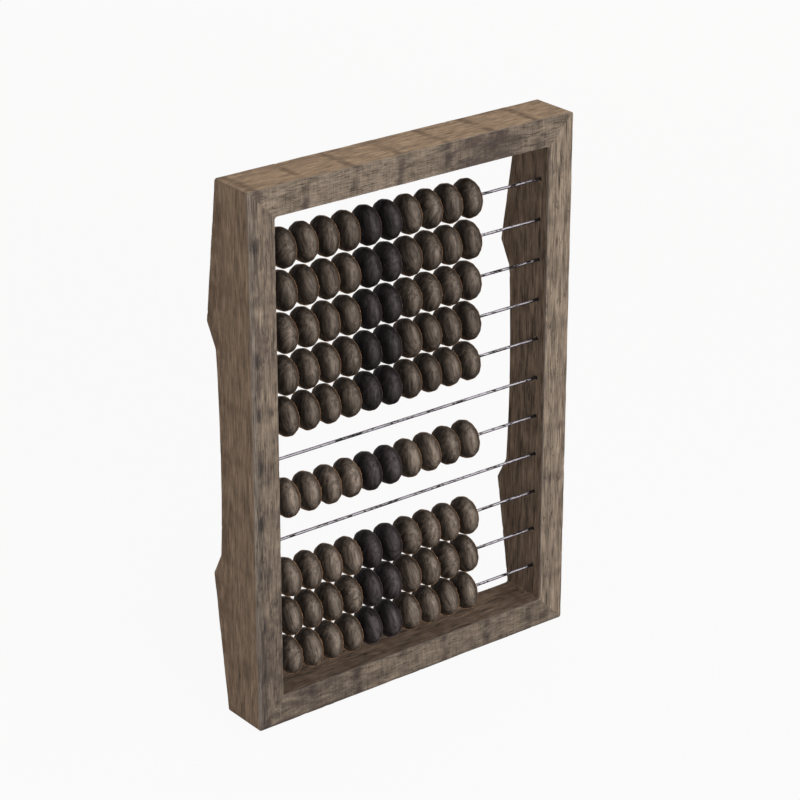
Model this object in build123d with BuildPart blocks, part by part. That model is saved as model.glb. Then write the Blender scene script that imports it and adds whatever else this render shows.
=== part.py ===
"""Counting frame (schoty): a mitred timber frame, steel wires and flattened wooden beads that slide on them.

Millimetres. The frame stands upright on one short side: X runs along the wires, Y from the front face to the
back, Z up. The origin is below the middle of the whole object, on the surface that it stands on.
Rows are counted from the top and beads from the left. All beads are parked against the left post.
"""

from build123d import *
import os

# Driving dimensions: whole frame
frame_width = 280.0
frame_height = 400.0
member_width = 21.4  # of all four members, seen from the front

# Driving dimensions: beads, whose diameter follows from the rows
bead_thickness = 17.2  # along the wire
bead_rim_radius = 5.5  # of the rounding over the rim
bead_rim_angle = 50.0  # degrees of that rounding on each side of the rim
bead_end_diameter = 6.0  # flat ring round the bore
bead_bore_clearance = 0.5  # radial, round the wire
bead_gap = 0.47  # between neighbours
beads_per_row = 10
black_count = 2  # in the middle of each row

# Driving dimensions: rows and wires
row_pattern = "ooooo-o-ooo"  # from the top: o is a row of beads, - is a bare wire
row_gap = 1.95  # between the beads of neighbouring rows
wire_diameter = 2.2
wire_setback = 9.9  # front face to the wires' centre lines
wire_end_chamfer = 0.3
end_gap = 3.0  # parked beads to the post
head_gap = 12.15  # top rail to the beads of the first row
foot_gap = 10.95  # bottom rail to the beads of the last row

# Driving dimensions: depths and shape of the members
end_depth = 37.8  # of the rails and of the posts' ends
crest_depth = 51.5  # of a post over its two foot humps
step_depth = 42.0  # of a post at the inner foot of a hump
waist_depth = 39.6  # of a post half way up
crest_distance = 105.0  # nearer end of the post to the hump's crest
step_length = 17.5  # crest to the inner foot of the hump
crest_radius = 2.0
step_radius = 6.0
edge_radius = 0.6  # worn long edges
saw_stock = 1.0  # sawn off a post's blank at its front and its two ends

# Driving dimensions: joints of the frame
socket_depth = 12.0
socket_end_gap = 0.5
socket_fit = 0.05  # radial, round the wire
socket_mouth_diameter = 3.4  # worn mouth of each wire socket
socket_mouth_depth = 1.5
dowel_diameter = 5.0
dowel_length = 16.0
dowel_setback = 9.5  # from the front and back faces of the rails
dowel_fit = 0.05  # radial
dowel_end_gap = 0.5
dowel_chamfer = 0.5

# Sizes that follow
bead_pitch = bead_thickness + bead_gap
train_length = beads_per_row * bead_pitch - bead_gap
opening_width = frame_width - 2 * member_width
opening_height = frame_height - 2 * member_width
free_run = opening_width - train_length - 2 * end_gap
row_count = len(row_pattern)
row_pitch = (opening_height - head_gap - foot_gap + row_gap) / row_count
bead_diameter = row_pitch - row_gap
bead_proud = max(bead_diameter / 2 - wire_setback, 0)  # of the front face
front = bead_proud - (bead_proud + crest_depth) / 2
rail_back = front + end_depth
wire_y = front + wire_setback
outer_x = frame_width / 2
inner_x = opening_width / 2
first_row_z = frame_height - member_width - head_gap - bead_diameter / 2
row_heights = [first_row_z - row * row_pitch for row in range(row_count)]
beaded_rows = [row for row, kind in enumerate(row_pattern, start=1) if kind == "o"]
first_black = (beads_per_row - black_count) // 2 + 1
black_beads = range(first_black, first_black + black_count)

os.makedirs("parts", exist_ok=True)


def save(builder, node):
    """Label a finished piece and write its STEP file."""
    builder.part.label = node
    export_step(builder.part, f"parts/{node}.step")


# ---- Frame members ----------------------------------------------------------------------------------------


def member_outline(corners):
    """Front view of a member, from its corners (x, z), on the plane of the front faces."""
    with BuildSketch(Plane.XZ.offset(-front)) as outline:
        Polygon(*corners, align=None)
    return outline.sketch


def post_profile(plane, end):
    """Side view of a post's blank on a plane where the post starts and stops `end` short of the frame."""
    crest = front + crest_depth
    step = front + step_depth
    waist = front + waist_depth
    foot = crest_distance + step_length
    rough_front = front - saw_stock
    rough_end = end - saw_stock
    with BuildSketch(plane) as profile:
        with BuildLine():
            lower = Polyline(
                (rough_front, rough_end),
                (rail_back, rough_end),
                (rail_back, end),
                (crest, crest_distance),
                (step, foot),
            )
            middle = ThreePointArc(lower @ 1, (waist, frame_height / 2), (step, frame_height - foot))
            Polyline(
                middle @ 1,
                (crest, frame_height - crest_distance),
                (rail_back, frame_height - end),
                (rail_back, frame_height - rough_end),
                (rough_front, frame_height - rough_end),
                (rough_front, rough_end),
            )
        make_face()
        crests = profile.vertices().sort_by(Axis.X)[-2:]
        fillet(crests, crest_radius)
        steps = profile.vertices().sort_by_distance((waist, frame_height / 2))[:2]
        fillet(steps, step_radius)
    return profile


def corner_plane(side, end):
    """Plane of the mitre's dowels at one corner: side is -1 left or 1 right, end is -1 bottom or 1 top."""
    centre_x = side * (outer_x - member_width / 2)
    centre_z = frame_height / 2 + end * (frame_height - member_width) / 2
    return Plane(origin=(centre_x, 0, centre_z), x_dir=(0, 1, 0), z_dir=(side, 0, -end))


dowel_places = [(front + dowel_setback, 0), (rail_back - dowel_setback, 0)]


def drill_dowel_holes(side, end):
    """Cut the two dowel holes of one corner out of the piece under construction."""
    with BuildSketch(corner_plane(side, end)) as holes:
        with Locations(*dowel_places):
            Circle(dowel_diameter / 2 + dowel_fit)
    extrude(holes.sketch, amount=dowel_length / 2 + dowel_end_gap, both=True, mode=Mode.SUBTRACT)


def drill_sockets(side):
    """Cut the blind wire sockets, with their worn mouths, out of a post's inner face."""
    face = Plane.YZ.offset(side * inner_x)
    places = [(wire_y, height) for height in row_heights]
    for radius, depth in (
        (wire_diameter / 2 + socket_fit, socket_depth),
        (socket_mouth_diameter / 2, socket_mouth_depth),
    ):
        with BuildSketch(face) as holes:
            with Locations(*places):
                Circle(radius)
        extrude(holes.sketch, amount=side * depth, mode=Mode.SUBTRACT)


for name, side in (("left_post", -1), ("right_post", 1)):
    outer_profile = post_profile(Plane.YZ.offset(side * outer_x), 0)
    inner_profile = post_profile(Plane.YZ.offset(side * inner_x), member_width)
    outline = member_outline(
        [
            (side * outer_x, 0),
            (side * outer_x, frame_height),
            (side * inner_x, frame_height - member_width),
            (side * inner_x, member_width),
        ]
    )
    with BuildPart() as post:
        loft([outer_profile.sketch, inner_profile.sketch], ruled=True)
        extrude(outline, amount=-crest_depth, mode=Mode.INTERSECT)
        front_edges = post.edges().filter_by(Axis.Z).group_by(Axis.Y)[0]
        fillet(front_edges, edge_radius)
        drill_sockets(side)
        drill_dowel_holes(side, -1)
        drill_dowel_holes(side, 1)
    save(post, name)

for name, end, outer_z in (("bottom_rail", -1, 0), ("top_rail", 1, frame_height)):
    inner_z = outer_z - end * member_width
    outline = member_outline(
        [
            (-outer_x, outer_z),
            (outer_x, outer_z),
            (inner_x, inner_z),
            (-inner_x, inner_z),
        ]
    )
    with BuildPart() as rail:
        extrude(outline, amount=-end_depth)
        fillet(rail.edges().filter_by(Axis.X), edge_radius)
        drill_dowel_holes(-1, end)
        drill_dowel_holes(1, end)
    save(rail, name)

for name, side, end in (
    ("dowels_bottom_left", -1, -1),
    ("dowels_bottom_right", 1, -1),
    ("dowels_top_left", -1, 1),
    ("dowels_top_right", 1, 1),
):
    with BuildPart() as dowels:
        with BuildSketch(corner_plane(side, end)):
            with Locations(*dowel_places):
                Circle(dowel_diameter / 2)
        extrude(amount=dowel_length / 2, both=True)
        chamfer(dowels.edges().filter_by(GeomType.CIRCLE), dowel_chamfer)
    save(dowels, name)

# ---- Wires ------------------------------------------------------------------------------------------------

wire_reach = inner_x + socket_depth - socket_end_gap
with BuildPart() as wires:
    with BuildSketch(Plane.YZ):
        with Locations(*[(wire_y, height) for height in row_heights]):
            Circle(wire_diameter / 2)
    extrude(amount=wire_reach, both=True)
    chamfer(wires.edges().filter_by(GeomType.CIRCLE), wire_end_chamfer)
save(wires, "wires")

# ---- Beads ------------------------------------------------------------------------------------------------

# One bead on the X axis: a rim arc, a flatter arc down each side and a flat ring round the bore.
bead_radius = bead_diameter / 2
bead_bore = wire_diameter / 2 + bead_bore_clearance
with BuildPart() as bead:
    with BuildSketch(Plane.XZ):
        with BuildLine():
            rim = CenterArc(
                (0, bead_radius - bead_rim_radius),
                bead_rim_radius,
                90 - bead_rim_angle,
                2 * bead_rim_angle,
            )
            right_corner = (bead_thickness / 2, bead_end_diameter / 2)
            left_corner = (-bead_thickness / 2, bead_end_diameter / 2)
            TangentArc(rim @ 0, right_corner, tangent=-(rim % 0))
            TangentArc(rim @ 1, left_corner, tangent=rim % 1)
            Polyline(
                left_corner,
                (-bead_thickness / 2, bead_bore),
                (bead_thickness / 2, bead_bore),
                right_corner,
            )
        make_face()
    revolve(axis=Axis.X)


def bead_runs(counted):
    """Neighbouring beads that share a node: the same colour, the same side of the split, two at most."""
    runs = []
    for number in range(1, beads_per_row + 1):
        black = number in black_beads
        in_counted = number > beads_per_row - counted
        if runs and runs[-1]["key"] == (black, in_counted) and len(runs[-1]["numbers"]) == 1:
            runs[-1]["numbers"].append(number)
        else:
            runs.append({"key": (black, in_counted), "numbers": [number]})
    return [run["numbers"] for run in runs]


def bead_x(number):
    """Centre of a parked bead along its wire."""
    return -inner_x + end_gap + bead_thickness / 2 + (number - 1) * bead_pitch


# The row's last beads, one in the first beaded row, two in the second and so on, also slide by themselves.
for counted, row in enumerate(beaded_rows, start=1):
    for numbers in bead_runs(counted):
        with BuildPart() as group:
            with Locations(*[(bead_x(number), wire_y, row_heights[row - 1]) for number in numbers]):
                add(bead.part)
        kind = "beads" if len(numbers) > 1 else "bead"
        save(group, f"row_{row:02d}_{kind}_" + "_".join(str(number) for number in numbers))

print(f"beads {bead_diameter:.2f}, row pitch {row_pitch:.2f}, free run {free_run:.2f}, front {front:.3f}")
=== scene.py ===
"""Looks of the counting frame: weathered mitred timber, oxidised steel wires and ninety rubbed beads, with
some painted light and shade.

Metres, in the frame's own axes: X along the wires, Y from the front to the back, Z up.
"""

import itertools
import math
import random

import bpy
import numpy as np
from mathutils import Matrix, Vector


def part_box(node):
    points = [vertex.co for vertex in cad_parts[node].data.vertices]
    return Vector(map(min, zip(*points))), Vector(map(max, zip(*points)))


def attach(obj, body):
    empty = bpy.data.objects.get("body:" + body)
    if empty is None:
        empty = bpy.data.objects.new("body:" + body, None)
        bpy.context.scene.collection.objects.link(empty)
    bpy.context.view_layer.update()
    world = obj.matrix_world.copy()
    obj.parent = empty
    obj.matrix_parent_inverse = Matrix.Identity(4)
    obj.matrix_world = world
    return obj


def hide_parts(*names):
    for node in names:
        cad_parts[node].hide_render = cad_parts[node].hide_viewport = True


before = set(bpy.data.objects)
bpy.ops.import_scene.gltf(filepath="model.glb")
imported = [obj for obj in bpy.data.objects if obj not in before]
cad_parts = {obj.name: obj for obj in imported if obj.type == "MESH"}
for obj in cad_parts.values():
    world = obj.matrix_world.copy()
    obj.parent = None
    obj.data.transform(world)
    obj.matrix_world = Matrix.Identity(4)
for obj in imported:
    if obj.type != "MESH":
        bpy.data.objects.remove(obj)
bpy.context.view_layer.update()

# ---- Sizes ---------------------------------------------------------------------------------------

MM = 0.001
sharp_angle = math.radians(50)
post_low, post_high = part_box("left_post")
rail_low, rail_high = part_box("top_rail")
wires_low, wires_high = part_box("wires")
outer_x = -post_low.x
inner_x = -post_high.x
member_width = outer_x - inner_x
frame_height = post_high.z
front_y = post_low.y
rail_depth = rail_high.y - rail_low.y
wire_y = (wires_low.y + wires_high.y) / 2
wire_reach = wires_high.x

# Backs of the posts: a crest near each end, a step down from it and a waist in the middle
crest_depth = 51.5 * MM
step_depth = 42.0 * MM
waist_depth = 39.6 * MM
crest_distance = 105.0 * MM
step_distance = 122.5 * MM
crest_blend = 0.4 * MM
step_blend = 0.7 * MM

# Rounding of the frame's long edges, and of its corners where two members meet
edge_round = 0.5 * MM
outer_corner = 1.8 * MM
inner_corner = 2.2 * MM

# Closer stations at each end of a member
end_stretch = 5.0 * MM
end_stations = 16

# Depths of the timber's weathering
swell_depth = 0.025 * MM
groove_depth = 0.11 * MM
nick_depth = 0.3 * MM
dent_depth = 0.12 * MM

# Beads
bead_radius = 14.3 * MM
bead_half = 8.6 * MM
rim_radius = 5.5 * MM
rim_angle = math.radians(50)
rim_steps = 8
flank_steps = 14
end_radius = 3.0 * MM
bore_radius = 1.6 * MM
bead_wear = 0.03 * MM
bead_flats = 15  # that each bead is whittled to
around_bead = 4 * bead_flats
black_numbers = (5, 6)  # of the ten beads on a wire
first_painted_light_row = 7  # counted from the top
lower_rows_painted_light = 1.2  # painted light: lightness of the beads from that row down
upper_rows_painted_shade = 0.84  # painted shade: lightness of the beads above it

# Wires, and their sockets in the posts
wire_radius = 1.1 * MM
wire_sway = 0.05 * MM
around_wire = 18
wire_stations = 260
socket_mouth = 1.7 * MM
mouth_depth = 1.5 * MM
bore_share = 0.68
socket_depth = 12.0 * MM
around_socket = 20


# ---- Small tools for the meshes ------------------------------------------------------------------


def bumps(points, seed):
    """Smooth noise from -1 to 1 at each point, with about one bump in each unit of length.

    Large odd numbers scatter the keys of neighbouring cells.
    """
    cell = np.floor(points).astype(np.int64)
    part = points - cell
    part = part * part * (3 - 2 * part)
    total = np.zeros(len(points))
    for corner in itertools.product((0, 1), repeat=3):
        key = (cell + corner) @ np.array([73856093, 19349663, 83492791]) + seed * 2654435761
        key = ((key ^ (key >> 13)) * 1274126177) & 0xFFFFFFFF
        key = ((key ^ (key >> 16)) * 2246822519) & 0xFFFFFFFF
        share = np.prod(np.where(corner, part, 1 - part), axis=1)
        total += share * ((key >> 8 & 0xFFFF) / 32767.5 - 1)
    return total


def ramp(values, low, high):
    """0 below low, 1 above high and a smooth rise between them; reversed if high is lower."""
    share = np.clip((values - low) / (high - low), 0, 1)
    return share * share * (3 - 2 * share)


def grid_faces(rings, around, first=0):
    """Quads between neighbouring closed rings of points."""
    faces = []
    for ring in range(rings - 1):
        for step in range(around):
            following = (step + 1) % around
            low = first + ring * around
            faces.append((low + step, low + following, low + around + following, low + around + step))
    return faces


def rod_faces(rings, around, first=0):
    """Faces of a rod of closed rings, its two ends included."""
    faces = grid_faces(rings, around, first)
    faces.append(tuple(range(first + around - 1, first - 1, -1)))
    faces.append(tuple(range(first + (rings - 1) * around, first + rings * around)))
    return faces


def turned_over(faces):
    """The same faces, looking the other way."""
    return [tuple(reversed(face)) for face in faces]


def make_mesh(name, points, faces, vectors, numbers):
    """A mesh with smooth faces, sharp edges where it turns hard, and named values at its points."""
    mesh = bpy.data.meshes.new(name)
    mesh.from_pydata(points.tolist(), [], faces)
    for key, values in vectors.items():
        layer = mesh.attributes.new(key, "FLOAT_VECTOR", "POINT")
        layer.data.foreach_set("vector", np.asarray(values, np.float32).ravel())
    for key, values in numbers.items():
        layer = mesh.attributes.new(key, "FLOAT", "POINT")
        layer.data.foreach_set("value", np.asarray(values, np.float32))
    mesh.shade_smooth()
    mesh.set_sharp_from_angle(angle=sharp_angle)
    return mesh


def place(name, mesh, material, slot, body, *nodes):
    """Put a mesh into the scene in place of its CAD nodes, on its body."""
    piece = bpy.data.objects.new(name, mesh)
    bpy.context.scene.collection.objects.link(piece)
    mesh.materials.append(material)
    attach(piece, body)
    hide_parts(*nodes)
    return piece


# ---- Small tools for the materials ---------------------------------------------------------------


class Value:
    """A socket whose value changes over a surface. Arithmetic on numbers adds Math nodes."""

    def __init__(self, finish, socket):
        self.finish = finish
        self.socket = socket

    def __add__(self, other):
        return self.finish.math("ADD", self, other)

    __radd__ = __add__

    def __mul__(self, other):
        return self.finish.math("MULTIPLY", self, other)

    __rmul__ = __mul__

    def __sub__(self, other):
        return self.finish.math("SUBTRACT", self, other)

    def __rsub__(self, other):
        return self.finish.math("SUBTRACT", other, self)

    def __abs__(self):
        return self.finish.math("ABSOLUTE", self)

    def at_least(self, other):
        """The larger of the two."""
        return self.finish.math("MAXIMUM", self, other)

    def nearest(self, spacing):
        """Distance to the nearest multiple of a spacing."""
        return self.finish.math("PINGPONG", self, spacing / 2)

    def ramp(self, low, high):
        """0 below low, 1 above high and a smooth rise between them; reversed if high is lower."""
        if low > high:
            return 1 - self.ramp(high, low)
        settings = {"interpolation_type": "SMOOTHSTEP"}
        inputs = {"Value": self, "From Min": low, "From Max": high}
        return self.finish.node("ShaderNodeMapRange", settings, inputs)


class Finish:
    """The nodes of a material or of the world, under construction."""

    def __init__(self, owner):
        owner.use_nodes = True
        self.tree = owner.node_tree
        self.tree.nodes.clear()

    def node(self, kind, settings=None, inputs=None, output=0):
        """Add a node: its settings first, then the values or links of its sockets."""
        made = self.tree.nodes.new(kind)
        for key, value in (settings or {}).items():
            setattr(made, key, value)
        for key, value in (inputs or {}).items():
            if isinstance(value, Value):
                self.tree.links.new(value.socket, made.inputs[key])
            else:
                made.inputs[key].default_value = value
        return Value(self, made.outputs[output]) if made.outputs else None

    def math(self, operation, *terms):
        """One Math node on numbers and values."""
        return self.node("ShaderNodeMath", {"operation": operation}, dict(enumerate(terms)))

    def parts(self, vector):
        """The three numbers of a vector."""
        first = self.node("ShaderNodeSeparateXYZ", inputs={0: vector})
        return [Value(self, socket) for socket in first.socket.node.outputs]

    def attribute(self, name, output="Vector"):
        """A value kept at the mesh's points."""
        return self.node("ShaderNodeAttribute", {"attribute_name": name}, output=output)

    def scaled(self, vector, sizes):
        """Divide a vector by three sizes, so that noise on it has features that large."""
        factors = tuple(1 / size for size in sizes)
        return self.node("ShaderNodeVectorMath", {"operation": "MULTIPLY"}, {0: vector, 1: factors})

    def noise(self, vector, sizes, detail, roughness=0.5, output=0):
        """Noise from 0 to 1 with features of the given sizes in metres."""
        inputs = {
            "Vector": self.scaled(vector, sizes),
            "Scale": 1.0,
            "Detail": detail,
            "Roughness": roughness,
        }
        return self.node("ShaderNodeTexNoise", inputs=inputs, output=output)

    def warped(self, vector, sizes, reach):
        """Move a vector sideways by noise, as far as reach along each axis."""
        sway = self.noise(vector, sizes, detail=1, output="Color")
        inputs = {0: sway, 1: (0.5, 0.5, 0.5)}
        centred = self.node("ShaderNodeVectorMath", {"operation": "SUBTRACT"}, inputs)
        inputs = {0: centred, 1: tuple(2 * r for r in reach), 2: vector}
        return self.node("ShaderNodeVectorMath", {"operation": "MULTIPLY_ADD"}, inputs)

    def mix(self, share, first, second):
        """Mix two colours; the share is the second one's."""
        colours = [colour if isinstance(colour, Value) else (*colour, 1) for colour in (first, second)]
        inputs = {0: share, 6: colours[0], 7: colours[1]}
        return self.node("ShaderNodeMix", {"data_type": "RGBA"}, inputs, output=2)

    def tone(self, colour, factor):
        """Darken or lighten a colour by a number, to no less than a tenth."""
        factor = factor.at_least(0.1)
        grey = self.node("ShaderNodeCombineXYZ", inputs={0: factor, 1: factor, 2: factor})
        return self.node("ShaderNodeVectorMath", {"operation": "MULTIPLY"}, {0: colour, 1: grey})

    def close(self, colour, roughness, height=None, depth=0.0, **uniform):
        """Close a material with a principled shader, with height times depth in metres as its bump."""
        inputs = {"Base Color": colour, "Roughness": roughness}
        inputs.update({key.replace("_", " "): value for key, value in uniform.items()})
        if height is not None:
            inputs["Normal"] = self.node("ShaderNodeBump", inputs={"Height": height, "Distance": depth})
        shader = self.node("ShaderNodeBsdfPrincipled", inputs=inputs)
        self.node("ShaderNodeOutputMaterial", inputs={"Surface": shader})


def new_material(name, plain_colour):
    """An empty material, with the colour that it has in a plain view."""
    material = bpy.data.materials.new(name)
    material.diffuse_color = (*plain_colour, 1)
    return material


# ---- Materials -----------------------------------------------------------------------------------

post_front = (0.240, 0.186, 0.139)
rail_front = (0.216, 0.169, 0.127)
front_grey = (0.160, 0.135, 0.116)
outer_tan = (0.255, 0.177, 0.120)
top_tan = (0.360, 0.251, 0.163)
# Brown of the faces towards the opening, darker than the other sides partly as painted shade
inner_brown_and_shade = (0.137, 0.094, 0.065)
purple_stain = (0.050, 0.036, 0.034)
knot_dark = (0.036, 0.031, 0.029)
red_brown = (0.105, 0.062, 0.040)
worn_grey = (0.270, 0.240, 0.215)
# Painted shade inside the wire sockets
socket_painted_shade = (0.006, 0.004, 0.004)
bright_steel = (0.66, 0.62, 0.68)
oxide_black = (0.009, 0.006, 0.007)
# Painted shade on the wires next to the posts
painted_post_shade = (0.010, 0.008, 0.008)
dowel_light = (0.56, 0.43, 0.28)
dowel_dark = (0.42, 0.30, 0.18)

slat_spacing = 40.2 * MM
rub_highlight_middle = -2.8 * MM  # of the painted highlight, along a bead from its middle


class Timber(Finish):
    """Weathered timber in the making, with its noises and the places that its marks depend on."""

    def __init__(self, material, first_slat, sawn):
        super().__init__(material)
        self.sawn = sawn
        self.grain = self.attribute("grain")
        self.along, self.inwards, self.depth = self.parts(self.attribute("place"))
        self.front, _, self.inner = self.parts(self.attribute("face"))
        self.stained = self.attribute("stain", "Fac")
        self.hole = self.attribute("hole", "Fac")

        fibre_length, hair_length = (16 * MM, 8 * MM) if sawn else (28 * MM, 20 * MM)
        wavy = self.warped(self.grain, (60 * MM, 12 * MM, 12 * MM), (0, 1.2 * MM, 1.2 * MM))
        self.cloud = self.noise(wavy, (22 * MM, 4.5 * MM, 4.5 * MM), detail=4, roughness=0.62)
        self.fibre = self.noise(wavy, (fibre_length, 0.62 * MM, 0.62 * MM), detail=3, roughness=0.68)
        self.hair = self.noise(wavy, (hair_length, 0.42 * MM, 0.42 * MM), detail=2)
        self.blotch = self.noise(wavy, (15 * MM, 6.5 * MM, 9 * MM), detail=5, roughness=0.68)
        self.drift = self.noise(self.grain, (30 * MM, 9 * MM, 9 * MM), detail=3)
        self.uneven = 0.4 * (self.fibre - 0.5) + 0.35 * (self.cloud - 0.5)

        crack_line = self.noise(wavy, (13 * MM, 1.2 * MM, 1.2 * MM), detail=1)
        crack_place = self.noise(self.grain, (9 * MM, 4 * MM, 4 * MM), detail=1)
        self.cracks = abs(crack_line - 0.5).ramp(0.035, 0.008) * crack_place.ramp(0.5, 0.62)

        sway = self.noise(self.grain, (40 * MM, 7 * MM, 7 * MM), detail=3, roughness=0.6)
        self.from_slat = (self.along - first_slat + 9 * MM * (sway - 0.5)).nearest(slat_spacing)

    def speckle(self):
        """How much lighter or darker the grain makes each spot, and the saw's marks across it."""
        speckle = 1.8 * (self.cloud - 0.5)
        speckle += (1.8 + self.front) * (self.fibre - 0.5)
        speckle += (1.7 + 0.7 * self.front) * (self.hair - 0.5)
        speckle = (1 + 0.6 * self.inner) * speckle
        if self.sawn:
            saw = self.noise(self.grain, (1.5 * MM, 14 * MM, 14 * MM), detail=3, roughness=0.7)
            speckle = (1 - 0.25 * self.front) * speckle + 1.4 * self.front * (saw - 0.5)
        return speckle

    def slat_marks(self, colour):
        """Darker bands where the slats lay that the timber was stacked on."""
        mark = self.from_slat.ramp(5.5 * MM, 0.5 * MM) * (self.drift + self.uneven).ramp(0.32, 0.62)
        strength = 0.7 if self.sawn else 0.2 + 0.15 * self.front
        return self.mix(strength * mark, colour, self.mix(self.front, red_brown, purple_stain))

    def water_stains(self, colour):
        """Purple blotches soaked into the front."""
        soaked = (self.blotch + 0.3 * self.stained + self.uneven).ramp(0.56, 0.92) + 0.2 * self.stained
        return self.mix(soaked * self.front * 0.65, colour, purple_stain)

    def dirty_edge(self, colour, speckle):
        """A broken line of dirt inside a stained front's outer edge, and the edge itself rubbed grey."""
        weathered = self.stained.ramp(0.2, 0.4) * self.front
        beside_edge = abs(self.inwards - 5 * MM).ramp(4.2 * MM, 0.8 * MM) * weathered
        strokes = (0.6 * self.fibre + 0.4 * self.hair).ramp(0.58, 0.40)
        knots = (self.from_slat - 30 * MM * self.uneven).ramp(7.5 * MM, 2 * MM) * (0.25 + 0.75 * strokes)
        dashes = (self.drift + self.uneven).ramp(0.4, 0.6) * (0.2 + 0.35 * strokes)
        colour = self.mix(beside_edge * (knots + dashes), colour, knot_dark)
        rubbed = self.inwards.ramp(4.2 * MM, 2.6 * MM) * weathered
        return self.mix(rubbed * 0.4, colour, self.tone(front_grey, 1 + 1.4 * speckle))

    def wear(self, colour):
        """Redder wood towards the back, dark cracks, and worn grey where the sides meet the front."""
        behind = self.depth.ramp(26 * MM, 37 * MM) * (1 - self.front) * self.blotch.ramp(0.42, 0.6)
        colour = self.mix(behind * 0.45, colour, red_brown)
        colour = self.mix(self.cracks * (0.25 + 0.5 * self.front), colour, purple_stain)
        worn = self.noise(self.grain, (8 * MM, 2.5 * MM, 2.5 * MM), detail=3).ramp(0.34, 0.6)
        rim = self.depth.ramp(2.0 * MM, 0.4 * MM) * (1 - self.front)
        return self.mix(rim * (0.35 + 0.35 * worn), colour, worn_grey)


def timber(name, front_colour, outer_colour, first_slat, sawn):
    """Weathered timber: greyed and stained in front, brown on its other sides, with painted shade in its
    sockets.
    """
    material = new_material(name, outer_colour)
    wood = Timber(material, first_slat, sawn)
    speckle = wood.speckle()
    # The faces towards the opening take the darker brown, partly painted shade.
    sides = wood.mix(wood.inner, outer_colour, inner_brown_and_shade)
    colour = wood.tone(wood.mix(wood.front, sides, front_colour), 1 + speckle)
    colour = wood.slat_marks(colour)
    colour = wood.water_stains(colour)
    if not sawn:
        colour = wood.dirty_edge(colour, speckle)
    colour = wood.wear(colour)
    # Painted shade: the walls of the wire sockets near black.
    colour = wood.mix(wood.hole, colour, socket_painted_shade)
    height = wood.fibre + 0.5 * wood.hair - 0.8 * wood.cracks
    wood.close(colour, 0.74 + 0.16 * wood.fibre, height, 0.22 * MM, Specular_IOR_Level=0.15)
    return material


def bead_wood(name, light, middle, dark, rubbed, rim_glow_colour, edge_glow, contrast, polish):
    """Turned bead: streaks across its bore, dark round it, a painted highlight where rubbed, a painted rim
    glow.
    """
    material = new_material(name, middle)
    wood = Finish(material)
    grain = wood.attribute("grain")
    across, back, up = wood.parts(wood.attribute("place"))
    shade = wood.attribute("shade", "Fac")
    wavy = wood.warped(grain, (10 * MM, 6 * MM, 6 * MM), (0, 0.7 * MM, 0.7 * MM))
    broad = wood.noise(wavy, (18 * MM, 2.6 * MM, 2.6 * MM), detail=3, roughness=0.6)
    streak = wood.noise(wavy, (13 * MM, 1.1 * MM, 1.1 * MM), detail=2, roughness=0.6)
    hair = wood.noise(wavy, (9 * MM, 0.5 * MM, 0.5 * MM), detail=1)

    colour = wood.mix(broad.ramp(0.3, 0.55), dark, middle)
    colour = wood.mix(broad.ramp(0.48, 0.72), colour, light)
    colour = wood.tone(colour, 1 + contrast * (1.3 * (streak - 0.5) + 0.7 * (hair - 0.5)))

    # Painted highlight: the front of each bead, a little above its middle, is lighter and coated, partly
    # as if rubbed by fingers.
    highlight_side = (0.4 * up - 0.92 * back).ramp(4 * MM, 15 * MM) * (0.45 + 0.55 * broad.ramp(0.3, 0.6))
    rub_highlight = abs(across - rub_highlight_middle).ramp(6.4 * MM, 0.4 * MM) * highlight_side
    colour = wood.mix(rub_highlight * (1.3 * streak - 0.04), colour, rubbed)
    # Painted rim glow: a warm band on one flank of the rim, standing in for light along the bead's
    # outline.
    painted_rim_glow = across.ramp(0.6 * MM, 3.8 * MM) * (1 - across.ramp(5.0 * MM, 7.5 * MM))
    colour = wood.mix(painted_rim_glow * (0.1 + 0.5 * streak), colour, rim_glow_colour)

    gloss = {
        "Specular_IOR_Level": 0.05,
        "Coat_Weight": polish * rub_highlight * (0.2 + 1.3 * streak),
        "Coat_Roughness": 0.4,
        "Sheen_Weight": 0.9,
        "Sheen_Roughness": 0.22,
        "Sheen_Tint": (*edge_glow, 1),
    }
    height = streak + 0.5 * hair
    wood.close(wood.tone(colour, shade), 0.45 + 0.2 * streak, height, 0.25 * MM, **gloss)
    return material


def wire_steel(name):
    """Old drawn steel: dark oxide, a painted highlight strip where beads rub, painted shade by the posts.
    """
    material = new_material(name, (0.4, 0.38, 0.42))
    steel = Finish(material)
    grain = steel.attribute("grain")
    from_post = steel.attribute("from_post", "Fac")
    _, back, up = steel.parts(grain)
    patch = steel.noise(grain, (11 * MM, 1.6, 1.6), detail=3, roughness=0.6)
    fleck = steel.noise(grain, (2.5 * MM, 0.8, 0.8), detail=2)
    # Painted highlight: a bright, polished strip along the front and top of each wire, partly where beads
    # rub it.
    rub_highlight_strip = (0.62 * up - 0.78 * back + 0.9 * (patch - 0.5)).ramp(0.60, 0.88)
    flecks = (0.65 * patch + 0.35 * fleck).ramp(0.48, 0.56)
    oxide = 1 - rub_highlight_strip * (1 - flecks)
    # Painted shade: the last few millimetres of each wire, next to a post, turn black.
    ends = from_post.ramp(6.0 * MM, 4.5 * MM)
    colour = steel.mix(oxide, bright_steel, oxide_black)
    colour = steel.mix(ends, colour, painted_post_shade)
    metallic = (1 - 0.95 * oxide) * (1 - ends)
    steel.close(colour, 0.24 + 0.3 * oxide, patch, 0.08 * MM, Metallic=metallic, Specular_IOR_Level=0.2)
    return material


def dowel_wood(name):
    """Plain turned dowel, hidden in the mitres."""
    material = new_material(name, (0.5, 0.38, 0.24))
    wood = Finish(material)
    spot = wood.node("ShaderNodeTexCoord", output="Object")
    streak = wood.noise(spot, (3 * MM, 0.6 * MM, 3 * MM), detail=2)
    wood.close(wood.mix(streak, dowel_dark, dowel_light), 0.6)
    return material


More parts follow.
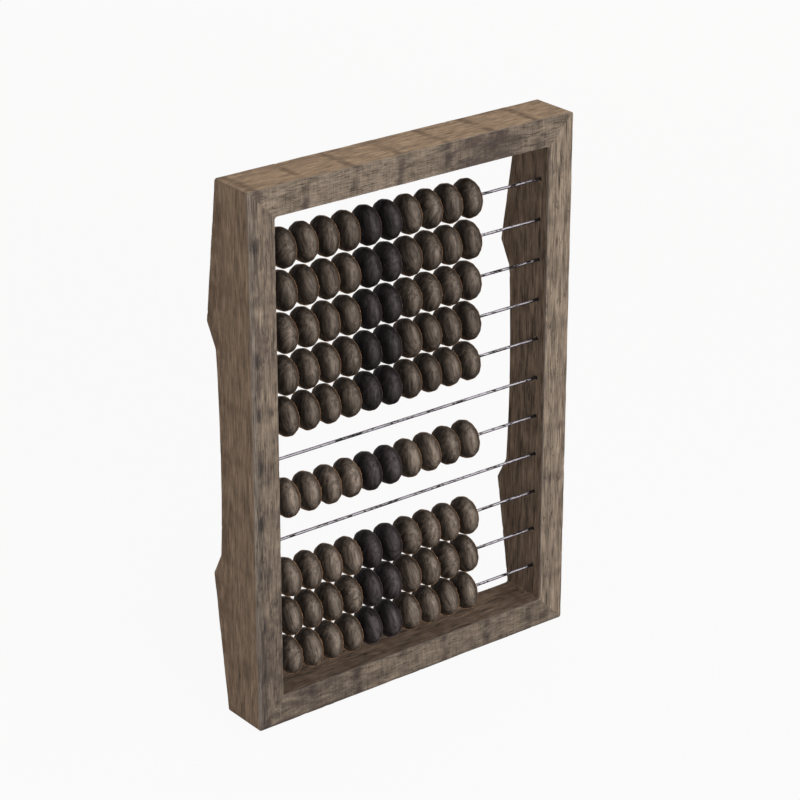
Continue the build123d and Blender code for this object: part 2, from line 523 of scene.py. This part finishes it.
post_wood = timber("post_wood", post_front, outer_tan, first_slat=0.0, sawn=False)
rail_wood = timber("rail_wood", rail_front, top_tan, first_slat=6.2 * MM, sawn=True)
brown_bead = bead_wood(
    "brown_bead",
    light=(0.052, 0.0395, 0.030),
    middle=(0.020, 0.0146, 0.0112),
    dark=(0.010, 0.0072, 0.0055),
    rubbed=(0.310, 0.244, 0.194),
    rim_glow_colour=(0.150, 0.086, 0.050),
    edge_glow=(0.80, 0.47, 0.27),
    contrast=0.85,
    polish=0.3,
)
black_bead = bead_wood(
    "black_bead",
    light=(0.016, 0.0126, 0.0132),
    middle=(0.008, 0.0062, 0.0066),
    dark=(0.004, 0.0031, 0.0033),
    rubbed=(0.105, 0.087, 0.088),
    rim_glow_colour=(0.030, 0.020, 0.020),
    edge_glow=(0.30, 0.20, 0.20),
    contrast=0.8,
    polish=0.2,
)
steel = wire_steel("wire_steel")
dowel = dowel_wood("dowel_wood")


# ---- Frame members -------------------------------------------------------------------------------


def section_points(front_steps, side_steps, arc_steps):
    """Points round a member's section, from corner to corner, as one array for each of their properties.

    Each point has its corner, the next corner, its share of the way there, its offset from each of the
    two in edge radii, and its outward normal. Corners run from the front outer one to the front inner one,
    the back inner one and the back outer one.
    """
    inward = [(1, 1), (-1, 1), (-1, -1), (1, -1)]
    starts = [180, 270, 0, 90]
    steps = [front_steps, side_steps, front_steps, side_steps]
    points = []
    for corner in range(4):
        following = (corner + 1) % 4
        for step in range(arc_steps + 1):
            angle = math.radians(starts[corner] + 90 * step / arc_steps)
            normal = (math.cos(angle), math.sin(angle))
            offset = (inward[corner][0] + normal[0], inward[corner][1] + normal[1])
            points.append((corner, corner, 0.0, offset, offset, normal))
        last = offset
        first = tuple(a + b for a, b in zip(inward[following], normal))
        for step in range(1, steps[corner]):
            share = 0.5 - 0.5 * math.cos(math.pi * step / steps[corner])
            share = 0.5 * share + 0.5 * step / steps[corner]
            points.append((corner, following, share, last, first, normal))
    return [np.array(column) for column in zip(*points)]


def rounded_side(run, length, start, radius):
    """How far inwards a side lies at each station: beyond its start only where its corners are rounded."""
    inwards = np.full(len(run), start)
    for _ in range(12):
        from_corner = inwards + np.minimum(run, 1 - run) * (length - 2 * inwards) - start
        left = np.clip(radius - from_corner, 0, radius)
        target = start + radius - np.sqrt(radius**2 - left**2)
        inwards = (inwards + target) / 2
    return inwards


def edge_radii(along, off_mitre, seed):
    """Radius of each of a member's four long edges at each station, uneven except at its mitres."""
    radii = np.empty((len(along), 4))
    for edge in range(4):
        spot = np.stack([along / (14 * MM), np.full(len(along), edge * 7.3), np.zeros(len(along))], 1)
        radii[:, edge] = edge_round * (1 + 0.45 * off_mitre * bumps(spot, seed))
    return radii


def edge_distance(inwards, depth, corner_width, back):
    """Distance from each point of a member's skin to the nearest of its four long edges."""
    distance = np.full(inwards.shape, 1.0)
    for edge, edge_depth in enumerate([front_y, front_y, back, back]):
        gap = np.hypot(inwards - corner_width[:, [edge]], depth - edge_depth)
        distance = np.minimum(distance, gap)
    return distance


def weathering(skin, to_edge, off_mitre, seed):
    """How deep wear has sunk each point of a member's skin: most at its edges, none at its mitres."""
    swell = bumps(skin / (34 * MM, 13 * MM, 13 * MM), seed + 1)
    groove = bumps(skin / (17 * MM, 1.5 * MM, 1.5 * MM), seed + 2)
    nick = bumps(skin / (4.5 * MM, 3 * MM, 3 * MM), seed + 3)
    dent = bumps(skin / (11 * MM, 7 * MM, 7 * MM), seed + 4)
    near_edge = np.exp(-to_edge / (1.3 * MM))
    sunk = swell_depth * (1 + swell) + groove_depth * ramp(-groove, 0.2, 0.8)
    sunk += nick_depth * near_edge * ramp(nick, 0.5, 0.95) + dent_depth * ramp(dent, 0.6, 0.95)
    return sunk * off_mitre


def member(length, back_at, seed, stain_at, stations=300):
    """Mesh of a mitred member in its own measures: along it, inwards from its outer side, front to back.

    back_at(along, inwards) is where its back lies, and stain_at(along, inwards) how stained it is.
    The mesh is a closed skin, its mitred ends included.
    """
    section = section_points(front_steps=44, side_steps=66, arc_steps=6)
    corner, following, share, offset_here, offset_next, normal = section
    around = len(corner)
    ends = np.linspace(0, end_stretch, end_stations) / length
    run = np.unique(np.concatenate([ends, np.linspace(ends[-1], 1 - ends[-1], stations), 1 - ends]))
    stations = len(run)
    off_mitre = ramp(np.minimum(run, 1 - run) * length, 2 * MM, 12 * MM)

    outer_side = rounded_side(run, length, 0.0, outer_corner)
    inner_side = rounded_side(run, length, member_width, inner_corner)
    corner_width = np.stack([outer_side, inner_side, inner_side, outer_side], 1)
    radii = edge_radii(run * length, off_mitre, seed)
    here = radii[:, corner]
    there = radii[:, following]
    inwards = (1 - share) * (corner_width[:, corner] + here * offset_here[:, 0])
    inwards += share * (corner_width[:, following] + there * offset_next[:, 0])
    along = inwards + run[:, None] * (length - 2 * inwards)
    corner_back = np.array([0, 0, 1, 1])
    backness = (1 - share) * corner_back[corner] + share * corner_back[following]
    from_face = (1 - share) * here * offset_here[:, 1] + share * there * offset_next[:, 1]
    back = back_at(along, inwards)
    depth = front_y + backness * (back - front_y) + from_face

    skin = np.stack([along.ravel(), inwards.ravel(), depth.ravel()], 1)
    stain = stain_at(skin[:, 0], skin[:, 1])
    outward = np.tile(normal, (stations, 1))
    to_edge = edge_distance(inwards, depth, corner_width, back).ravel()
    sunk = weathering(skin, to_edge, np.repeat(off_mitre, around), seed)
    skin[:, 1:] -= sunk[:, None] * outward

    shifts = random.Random(seed)
    shift = [shifts.uniform(0, 3) for _ in range(3)]
    faces_front = ramp(-outward[:, 1], 0.2, 0.9)
    faces_outer = ramp(-outward[:, 0], 0.2, 0.9)
    faces_inner = ramp(outward[:, 0], 0.2, 0.9)
    vectors = {
        "grain": skin + shift,
        "place": skin - (0, 0, front_y),
        "face": np.stack([faces_front, faces_outer, faces_inner], 1),
    }
    numbers = {"stain": stain, "hole": np.zeros(len(skin))}
    return skin, rod_faces(stations, around), vectors, numbers


def soften(difference, reach):
    """How far a corner between two lines is rounded where they differ by less than the reach."""
    return np.maximum(reach - np.abs(difference), 0) ** 2 / (4 * reach)


def post_back(along, inwards):
    """Back of a post: from the rails' depth it rises to a crest near each end, then drops to a waist."""
    near = np.minimum(along, frame_height - along)
    foot = front_y + rail_depth
    crest = front_y + crest_depth
    step = front_y + step_depth
    waist = front_y + waist_depth
    slope = foot + (crest - foot) * (near - inwards) / (crest_distance - inwards)
    drop = crest + (step - crest) * (near - crest_distance) / (step_distance - crest_distance)
    middle = frame_height / 2
    hollow = waist + (step - waist) * ((middle - near) / (middle - step_distance)) ** 2
    at_crest = np.minimum(slope, drop) - soften(slope - drop, crest_blend)
    at_step = np.maximum(drop, hollow) + soften(drop - hollow, step_blend)
    return np.where(near < (crest_distance + step_distance) / 2, at_crest, at_step)


def rail_back(along, inwards):
    """Back of a rail, which is as deep all along."""
    return np.full(np.shape(along), front_y + rail_depth)


def wire_heights():
    """Heights of the wires, from their own mesh: the middle of each separate run of heights."""
    found = sorted({round(vertex.co.z, 5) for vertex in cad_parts["wires"].data.vertices})
    groups = [[found[0]]]
    for height in found[1:]:
        if height - groups[-1][-1] > 4 * wire_radius:
            groups.append([])
        groups[-1].append(height)
    return [(group[0] + group[-1]) / 2 for group in groups]


def socket_cutter(heights, seed):
    """Worn, slightly uneven mouths and bores of one post's wire sockets, in the post's own measures."""
    mouth = [(-0.6 * MM, 1.12), (0.0, 1.0), (0.5 * mouth_depth, 0.82)]
    rings = [*mouth, (mouth_depth, bore_share), (socket_depth, bore_share)]
    uneven = random.Random(seed)
    points = []
    faces = []
    for height in heights:
        faces += rod_faces(len(rings), around_socket, len(points))
        rough = [uneven.uniform(0.94, 1.1) for _ in range(around_socket)]
        for depth, size in rings:
            for step in range(around_socket):
                lobe = (rough[step - 1] + rough[step] + rough[(step + 1) % around_socket]) / 3
                angle = 2 * math.pi * step / around_socket
                radius = socket_mouth * size * lobe
                along = height + radius * math.sin(angle)
                points.append((along, member_width - depth, wire_y + radius * math.cos(angle)))
    return np.array(points), faces


def carve(piece, cutter):
    """Cut one closed mesh out of a piece and keep the result in its mesh."""
    tool = bpy.data.objects.new("cutter", cutter)
    bpy.context.scene.collection.objects.link(tool)
    cut = piece.modifiers.new("sockets", "BOOLEAN")
    cut.operation = "DIFFERENCE"
    cut.solver = "MANIFOLD"
    cut.object = tool
    graph = bpy.context.evaluated_depsgraph_get()
    carved = bpy.data.meshes.new_from_object(piece.evaluated_get(graph))
    piece.modifiers.clear()
    piece.data = carved
    bpy.data.objects.remove(tool)


def make_post(name, side, seed, stain_at):
    """One post, with its wire sockets; side is -1 for the left one and 1 for the right one."""

    def stand(points):
        return np.stack([side * (outer_x - points[:, 1]), points[:, 2], points[:, 0]], 1)

    def face_outwards(faces):
        return faces if side > 0 else turned_over(faces)

    points, faces, vectors, numbers = member(frame_height, post_back, seed, stain_at)
    mesh = make_mesh(name, stand(points), face_outwards(faces), vectors, numbers)
    piece = place(f"{name}_timber", mesh, post_wood, "post_wood", "frame", name)
    hollow, hollow_faces = socket_cutter(wire_heights(), seed)
    vectors = {"grain": hollow, "place": hollow, "face": np.tile((0.0, 0.0, 1.0), (len(hollow), 1))}
    numbers = {"stain": np.zeros(len(hollow)), "hole": np.ones(len(hollow))}
    carve(piece, make_mesh("cutter", stand(hollow), face_outwards(hollow_faces), vectors, numbers))


def make_rail(name, end, seed, stain_at):
    """One rail; end is -1 for the bottom one and 1 for the top one."""
    points, faces, vectors, numbers = member(2 * outer_x, rail_back, seed, stain_at, stations=220)
    height = points[:, 1] if end < 0 else frame_height - points[:, 1]
    lying = np.stack([points[:, 0] - outer_x, points[:, 2], height], 1)
    if end < 0:
        faces = turned_over(faces)
    mesh = make_mesh(name, lying, faces, vectors, numbers)
    place(f"{name}_timber", mesh, rail_wood, "rail_wood", "frame", name)


def make_dowels():
    """The dowels keep their own shape and take the look of turned wood."""
    for node in ("dowels_bottom_left", "dowels_bottom_right", "dowels_top_left", "dowels_top_right"):
        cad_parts[node].data.materials.clear()
        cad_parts[node].data.materials.append(dowel)


# How stained the front of each member is, from 0 to 1. Posts are measured upwards, rails from the left.


def left_stain(along, inwards):
    """Stained all over, most towards the foot and in a band above the middle."""
    foot = ramp(along, 150 * MM, 60 * MM)
    band = ramp(np.abs(along - 280 * MM), 35 * MM, 0)
    return 0.62 + 0.3 * foot + 0.2 * band


def right_stain(along, inwards):
    """Almost clean, and faintly stained at the foot."""
    return 0.15 * ramp(along, 90 * MM, 20 * MM)


def bottom_stain(along, inwards):
    """Stained most at the left end and along the lower edge."""
    return 0.45 + 0.35 * ramp(along, 130 * MM, 50 * MM) + 0.5 * ramp(inwards, 3 * MM, 0.3 * MM)


def top_stain(along, inwards):
    """One dark patch right of the middle."""
    return 0.25 + 0.75 * ramp(along, 145 * MM, 180 * MM) * ramp(along, 250 * MM, 215 * MM)


make_post("left_post", side=-1, seed=11, stain_at=left_stain)
make_post("right_post", side=1, seed=23, stain_at=right_stain)
make_rail("bottom_rail", end=-1, seed=37, stain_at=bottom_stain)
make_rail("top_rail", end=1, seed=41, stain_at=top_stain)
make_dowels()


# ---- Wires ---------------------------------------------------------------------------------------


def wire_skin(row, height, seed):
    """Points, grain and distances from the post of one wire, very slightly uneven along its length.

    Its row shifts its noises, so that no two wires are alike.
    """
    run = np.linspace(-wire_reach, wire_reach, wire_stations)
    line = np.stack([run / (16 * MM), np.full(wire_stations, row * 5.1), np.zeros(wire_stations)], 1)
    middle_y = wire_y + wire_sway * bumps(line, seed)
    middle_z = height + wire_sway * bumps(line, seed + 1)
    angle = np.arange(around_wire) * 2 * math.pi / around_wire
    along = np.repeat(run, around_wire)
    backward = np.tile(np.cos(angle), wire_stations)
    upward = np.tile(np.sin(angle), wire_stations)
    spot = np.stack([along / (3 * MM), backward + row * 9, upward], 1)
    radius = wire_radius * (0.955 + 0.045 * bumps(spot, seed + 2))
    y = np.repeat(middle_y, around_wire) + radius * backward
    z = np.repeat(middle_z, around_wire) + radius * upward
    slanted = along + row * 0.7 + 1.2 * MM * upward
    grain = np.stack([slanted, backward, upward], 1)
    return np.stack([along, y, z], 1), grain, inner_x - np.abs(along)


def make_wires(heights, seed):
    """All the wires, in one mesh."""
    places, grain, from_post = zip(*[wire_skin(row, height, seed) for row, height in enumerate(heights)])
    faces = []
    for row in range(len(heights)):
        faces += rod_faces(wire_stations, around_wire, row * wire_stations * around_wire)
    vectors = {"grain": np.concatenate(grain)}
    numbers = {"from_post": np.concatenate(from_post)}
    mesh = make_mesh("wires", np.concatenate(places), turned_over(faces), vectors, numbers)
    place("wires_drawn", mesh, steel, "wire_steel", "frame", "wires")


make_wires(wire_heights(), seed=53)


# ---- Beads ---------------------------------------------------------------------------------------


def bead_profile():
    """Section of a bead on one side of its bore, from end to end: (along the bore, away from it).

    A small arc rounds its rim, and a larger one runs on from that to the flat round its bore.
    """
    rim_centre = bead_radius - rim_radius
    join = (rim_radius * math.sin(rim_angle), rim_centre + rim_radius * math.cos(rim_angle))
    normal = (math.sin(rim_angle), math.cos(rim_angle))
    reach = (bead_half - join[0], end_radius - join[1])
    radius = -(reach[0] ** 2 + reach[1] ** 2) / (2 * (reach[0] * normal[0] + reach[1] * normal[1]))
    centre = (join[0] - radius * normal[0], join[1] - radius * normal[1])
    end_angle = math.atan2(bead_half - centre[0], end_radius - centre[1])
    right = []
    for step in range(rim_steps + 1):
        angle = rim_angle * step / rim_steps
        right.append((rim_radius * math.sin(angle), rim_centre + rim_radius * math.cos(angle)))
    for step in range(1, flank_steps + 1):
        angle = rim_angle + (end_angle - rim_angle) * step / flank_steps
        right.append((centre[0] + radius * math.sin(angle), centre[1] + radius * math.cos(angle)))
    left = [(-x, y) for x, y in reversed(right[1:])]
    return np.array(left + right)


profile = bead_profile()


def whittled(turn, choice):
    """Shares of a bead's radius and length at each angle round its bore, cut to flats of uneven width."""
    share = np.full(len(turn), 1.014)
    fullness = np.ones(len(turn))
    for flat in range(bead_flats):
        middle = 2 * math.pi * (flat + choice.uniform(-0.22, 0.22)) / bead_flats
        facing = np.maximum(np.cos(turn - middle), 0.5)
        share = np.minimum(share, choice.uniform(0.989, 0.998) / facing)
        fullness += choice.uniform(-0.05, 0.015) * ramp(facing, math.cos(3.6 / bead_flats), 1)
    return share, fullness


def bead_skin(seed, painted_row_light):
    """Points, faces and surface values of one hand-finished bead, bore included."""
    choice = random.Random(seed)
    rings = np.concatenate([[(-bead_half, bore_radius)], profile, [(bead_half, bore_radius)]])
    count = len(rings)
    along = np.repeat(rings[:, 0], around_bead)
    radius = np.repeat(rings[:, 1], around_bead)
    turn = np.tile(np.arange(around_bead) * 2 * math.pi / around_bead, count)
    flats, fullness = whittled(turn, choice)
    spot = np.stack([along / (8 * MM), 1.3 * np.cos(turn) + 11, 1.3 * np.sin(turn)], 1)
    body = ramp(radius, end_radius, 2 * end_radius)
    worn = bead_wear * (1 + bumps(spot, seed))
    radius = radius * (1 - (1 - flats) * body) - worn * body
    along = along * (1 + (fullness - 1) * body)
    points = np.stack([along, radius * np.cos(turn), radius * np.sin(turn)], 1)

    lean = math.radians(choice.uniform(-38, 38))
    upright = points[:, 2] * math.cos(lean) + points[:, 1] * math.sin(lean)
    sideways = points[:, 1] * math.cos(lean) - points[:, 2] * math.sin(lean)
    shift = [choice.uniform(0, 2) for _ in range(3)]
    grain = np.stack([upright, points[:, 0], sideways], 1) + shift
    # Each bead's own tone, times the painted light or shade of its row, and darker round the bore.
    away_from_bore = ramp(radius, bore_radius, 2.2 * end_radius)
    shade = painted_row_light * choice.uniform(0.84, 1.16) * (0.5 + 0.5 * away_from_bore)

    faces = grid_faces(count, around_bead)
    last = (count - 1) * around_bead
    for step in range(around_bead):
        following = (step + 1) % around_bead
        faces.append((last + step, last + following, following, step))
    return points, faces, grain, shade


def bead_centres(node):
    """Number and centre of each bead of a node, from the node's name and its box."""
    numbers = [int(text) for text in node.split("_")[3:]]
    low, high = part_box(node)
    middle = (low + high) / 2
    first = low.x + bead_half
    last = high.x - bead_half
    step = (last - first) / max(len(numbers) - 1, 1)
    return [(number, (first + index * step, middle.y, middle.z)) for index, number in enumerate(numbers)]


def make_beads(node):
    """The bead or beads of one node."""
    row = int(node.split("_")[1])
    # Painted light and shade by row: beads of the lower rows are painted lighter, those above darker.
    painted_row_light = lower_rows_painted_light if row >= first_painted_light_row else upper_rows_painted_shade
    points = []
    places = []
    grains = []
    shades = []
    faces = []
    for number, centre in bead_centres(node):
        skin, own_faces, grain, shade = bead_skin(row * 100 + number, painted_row_light)
        first = sum(len(p) for p in points)
        faces += [tuple(first + index for index in face) for face in own_faces]
        points.append(skin + centre)
        places.append(skin)
        grains.append(grain)
        shades.append(shade)
    vectors = {"place": np.concatenate(places), "grain": np.concatenate(grains)}
    numbers = {"shade": np.concatenate(shades)}
    mesh = make_mesh(node, np.concatenate(points), turned_over(faces), vectors, numbers)
    wood, slot = (black_bead, "black_bead") if number in black_numbers else (brown_bead, "brown_bead")
    place(f"{node}_turned", mesh, wood, slot, node, node)


for node in sorted(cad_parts):
    if node.startswith("row_"):
        make_beads(node)


# ---- Camera, floor and light ---------------------------------------------------------------------

camera_azimuth = math.radians(38.077)
camera_elevation = math.radians(23.526)
camera_distance = 2.00019
camera_target = (3.788 * MM, 0.125 * MM, 207.583 * MM)
camera_lens = 127.122
sensor_width = 36

background = 0.965  # as light, a shade under white
floor_glow = 0.980  # with the shadow's share, as light as the background
shadow_share = 0.05  # of the shadow's depth that the floor shows near the object
far_share = 0.02  # and far from it
ambient = 0.22
floor_half = 6.0
floor_gap = 0.05 * MM
lamp_aim = 0.2


def add_camera():
    """The camera, which looks along +Y, turned towards +X and down."""
    data = bpy.data.cameras.new("camera")
    data.lens = camera_lens
    data.sensor_width = sensor_width
    camera = bpy.data.objects.new("camera", data)
    forward = (
        math.sin(camera_azimuth) * math.cos(camera_elevation),
        math.cos(camera_azimuth) * math.cos(camera_elevation),
        -math.sin(camera_elevation),
    )
    camera.location = [t - camera_distance * f for t, f in zip(camera_target, forward)]
    camera.rotation_euler = (math.pi / 2 - camera_elevation, 0, -camera_azimuth)
    bpy.context.scene.collection.objects.link(camera)
    bpy.context.scene.camera = camera


def add_floor():
    """A plain pale floor that keeps the object's shadow faintly."""
    mesh = bpy.data.meshes.new("floor")
    corners = [(floor_half * x, floor_half * y, 0) for x, y in ((-1, -1), (1, -1), (1, 1), (-1, 1))]
    mesh.from_pydata(corners, [], [(0, 1, 2, 3)])
    floor = bpy.data.objects.new("floor", mesh)
    floor.location.z = -floor_gap
    bpy.context.scene.collection.objects.link(floor)
    material = new_material("floor_paint", (0.9, 0.9, 0.9))
    paint = Finish(material)
    diffuse = paint.node("ShaderNodeBsdfDiffuse", inputs={"Color": (0.8, 0.8, 0.8, 1)})
    glow = paint.node("ShaderNodeEmission", inputs={"Color": (1, 1, 1, 1), "Strength": floor_glow})
    seen = paint.node("ShaderNodeLightPath", output="Is Camera Ray")
    spot = paint.node("ShaderNodeTexCoord", output="Object")
    away = paint.node("ShaderNodeVectorMath", {"operation": "LENGTH"}, {0: spot}, output="Value")
    share = shadow_share - (shadow_share - far_share) * away.ramp(0.8, 3.5)
    shown = paint.node("ShaderNodeMixShader", inputs={0: (1 - share) * seen, 1: diffuse, 2: glow})
    paint.node("ShaderNodeOutputMaterial", inputs={"Surface": shown})
    mesh.materials.append(material)


def add_world():
    """An even pale surround: almost white where it is seen or mirrored, softer as light."""
    world = bpy.data.worlds.new("surround")
    bpy.context.scene.world = world
    sky = Finish(world)
    seen = sky.node("ShaderNodeLightPath", output="Is Camera Ray")
    mirrored = sky.node("ShaderNodeLightPath", output="Is Glossy Ray")
    through = sky.node("ShaderNodeLightPath", output="Is Transmission Ray")
    direct = seen.at_least(mirrored).at_least(through)
    strength = ambient + (background - ambient) * direct
    surround = sky.node("ShaderNodeBackground", inputs={"Color": (1, 1, 1, 1), "Strength": strength})
    sky.node("ShaderNodeOutputWorld", inputs={"Surface": surround})


def add_softbox(name, azimuth, elevation, size, power, distance=2.2, colour=(1, 1, 1)):
    """A square lamp that faces the object from the given side, in degrees; azimuth 0 is in front of it."""
    data = bpy.data.lights.new(name, "AREA")
    data.size = size
    data.energy = power
    data.color = colour
    lamp = bpy.data.objects.new(name, data)
    round_z = math.radians(azimuth)
    upward = math.radians(elevation)
    lamp.location = (
        distance * math.sin(round_z) * math.cos(upward),
        -distance * math.cos(round_z) * math.cos(upward),
        lamp_aim + distance * math.sin(upward),
    )
    lamp.rotation_euler = (math.pi / 2 - upward, 0, round_z)
    bpy.context.scene.collection.objects.link(lamp)


add_camera()
add_floor()
add_world()
add_softbox("key", azimuth=-18, elevation=18, size=1.2, power=34)
add_softbox("overhead", azimuth=40, elevation=72, size=1.4, power=12)
add_softbox("back_rim", azimuth=130, elevation=30, size=1.2, power=8, colour=(1, 0.86, 0.72))

bpy.context.scene.view_settings.view_transform = "Standard"
